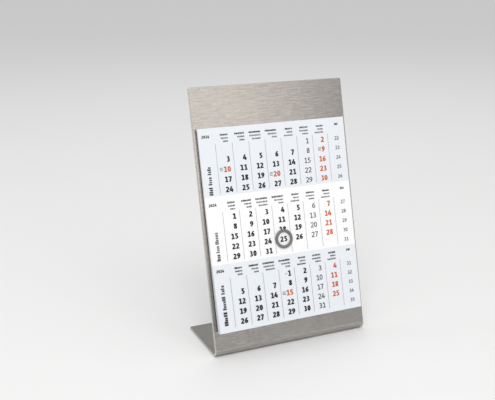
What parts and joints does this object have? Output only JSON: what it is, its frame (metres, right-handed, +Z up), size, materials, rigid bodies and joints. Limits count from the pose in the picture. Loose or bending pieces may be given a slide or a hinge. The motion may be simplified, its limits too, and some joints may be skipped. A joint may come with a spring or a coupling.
{
  "type": "metal desk calendar",
  "caption": "Free-standing desk calendar: a folded steel sheet with a leaning panel, a glued pad of month leaves on its front and a loose magnetic ring that marks the day.",
  "frame": {"origin": "middle of the base's flat underside, on the surface that the calendar stands on", "axes": "+X to the reader's right, +Y from the panel towards the back edge of the base, +Z up"},
  "size_m": [0.11, 0.0511, 0.1679],
  "materials": {
    "steel": "brushed across its width, satin, with bright deburred edges",
    "foam_tape": "matte double-sided foam tape",
    "board": "uncoated grey board",
    "paper": "smooth uncoated paper, plain printed numbers",
    "magnet": "dark grey satin coating"
  },
  "bodies": {
    "root": {"stand": "steel", "mounting_tape": "foam_tape", "backing_card": "board", "calendar_pad": "paper", "date_ring": "magnet"}
  },
  "joints": []
}
